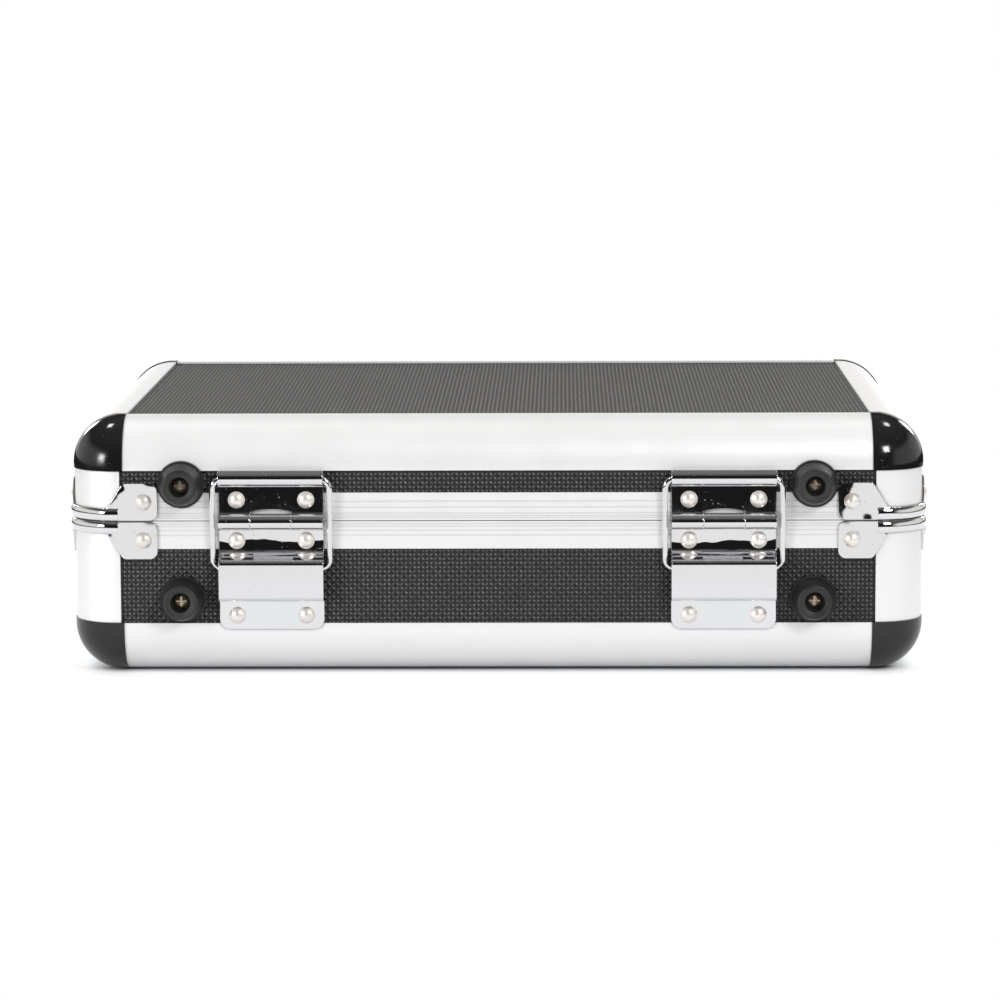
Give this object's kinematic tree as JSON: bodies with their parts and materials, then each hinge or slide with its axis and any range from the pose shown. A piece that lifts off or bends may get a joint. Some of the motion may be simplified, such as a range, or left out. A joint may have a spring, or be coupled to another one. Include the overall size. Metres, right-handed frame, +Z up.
{
  "type": "hinged tool case",
  "caption": "Hinged hard tool case with aluminium edge profiles, moulded ball corners, draw latches, carrying handle, rubber feet and wire lid stays.",
  "frame": {"origin": "middle of the footprint on the surface that the case lies on", "axes": "+X along the case to the right seen from the front, +Y from the latches to the hinges, +Z up through the lid"},
  "size_m": [0.3356, 0.2752, 0.1003],
  "materials": {
    "aluminium": "satin anodised",
    "chrome": "bright plated",
    "rivet": "bright nickel",
    "panel": "embossed black sheet",
    "corner_plastic": "glossy black",
    "rubber": "matt black",
    "screw": "yellow zinc",
    "floor_foam": "closed-cell foam",
    "lid_foam": "convoluted foam",
    "handle_plastic": "moulded black",
    "lock": "bright plated"
  },
  "bodies": {
    "base": {"base_back_edge": "aluminium", "base_back_panel": "panel", "base_back_rim": "aluminium", "base_ball_corners": "corner_plastic", "base_corner_posts": "aluminium", "base_feet": "rubber", "base_floor_pad": "floor_foam", "base_foot_screws": "screw", "base_front_edge": "aluminium", "base_front_panel": "panel", "base_front_rim": "aluminium", "base_left_edge": "aluminium", "base_left_panel": "panel", "base_left_rim": "aluminium", "base_right_edge": "aluminium", "base_right_panel": "panel", "base_right_rim": "aluminium", "base_rim_brackets": "chrome", "base_rivets": "rivet", "bottom_panel": "panel", "handle_brackets": "chrome", "handle_pins": "chrome", "hinge_pins": "chrome", "latch_pins": "chrome", "left_hinge_base_leaf": "chrome", "left_latch_plate": "chrome", "right_hinge_base_leaf": "chrome", "right_latch_plate": "chrome"},
    "lid": {"latch_catches": "chrome", "left_hinge_lid_leaf": "chrome", "lid_back_edge": "aluminium", "lid_back_panel": "panel", "lid_back_rim": "aluminium", "lid_ball_corners": "corner_plastic", "lid_corner_posts": "aluminium", "lid_feet": "rubber", "lid_foam_pad": "lid_foam", "lid_foot_screws": "screw", "lid_front_edge": "aluminium", "lid_front_panel": "panel", "lid_front_rim": "aluminium", "lid_left_edge": "aluminium", "lid_left_panel": "panel", "lid_left_rim": "aluminium", "lid_right_edge": "aluminium", "lid_right_panel": "panel", "lid_right_rim": "aluminium", "lid_rim_brackets": "chrome", "lid_rivets": "rivet", "right_hinge_lid_leaf": "chrome", "top_panel": "panel"},
    "left_stay_ring": {"left_stay_ring": "chrome"},
    "left_latch_lever": {"left_latch_lever": "chrome"},
    "left_latch_bail": {"left_latch_bail": "chrome"},
    "left_lock_plug": {"left_lock_plug": "lock"},
    "right_stay_ring": {"right_stay_ring": "chrome"},
    "right_latch_lever": {"right_latch_lever": "chrome"},
    "right_latch_bail": {"right_latch_bail": "chrome"},
    "right_lock_plug": {"right_lock_plug": "lock"},
    "handle": {"handle_grip": "handle_plastic"}
  },
  "joints": [
    {"name": "lid_hinge", "type": "hinge", "parent": "base", "child": "lid", "pos_m": [0, 0.13145, 0.0604], "axis": [-1, 0, 0], "range_deg": [0, 85]},
    {"name": "left_ring_swing", "type": "hinge", "parent": "lid", "child": "left_stay_ring", "pos_m": [-0.0873, 0.13145, 0.0767], "axis": [-1, 0, 0], "range_deg": [-56, 0]},
    {"name": "right_ring_swing", "type": "hinge", "parent": "lid", "child": "right_stay_ring", "pos_m": [0.0873, 0.13145, 0.0767], "axis": [-1, 0, 0], "range_deg": [-56, 0]},
    {"name": "left_lever_lift", "type": "hinge", "parent": "base", "child": "left_latch_lever", "pos_m": [-0.0873, -0.12765, 0.0479], "axis": [-1, 0, 0], "range_deg": [0, 100]},
    {"name": "left_bail_swing", "type": "hinge", "parent": "left_latch_lever", "child": "left_latch_bail", "pos_m": [-0.0873, -0.12545, 0.0409], "axis": [-1, 0, 0], "range_deg": [-101, 0]},
    {"name": "left_lock_turn", "type": "hinge", "parent": "left_latch_lever", "child": "left_lock_plug", "pos_m": [-0.0873, -0.13085, 0.0354], "axis": [0, 1, 0], "range_deg": [0, 90]},
    {"name": "right_lever_lift", "type": "hinge", "parent": "base", "child": "right_latch_lever", "pos_m": [0.0873, -0.12765, 0.0479], "axis": [-1, 0, 0], "range_deg": [0, 100]},
    {"name": "right_bail_swing", "type": "hinge", "parent": "right_latch_lever", "child": "right_latch_bail", "pos_m": [0.0873, -0.12545, 0.0409], "axis": [-1, 0, 0], "range_deg": [-101, 0]},
    {"name": "right_lock_turn", "type": "hinge", "parent": "right_latch_lever", "child": "right_lock_plug", "pos_m": [0.0873, -0.13085, 0.0354], "axis": [0, 1, 0], "range_deg": [0, 90]},
    {"name": "handle_swing", "type": "hinge", "parent": "base", "child": "handle", "pos_m": [0, -0.13015, 0.0504], "axis": [-1, 0, 0], "range_deg": [0, 90]}
  ],
  "couplings": [
    {"joint": "left_ring_swing", "follows": "lid_hinge", "ratio": -0.65},
    {"joint": "right_ring_swing", "follows": "lid_hinge", "ratio": -0.65},
    {"joint": "left_bail_swing", "follows": "left_lever_lift", "ratio": -1},
    {"joint": "right_bail_swing", "follows": "right_lever_lift", "ratio": -1}
  ]
}
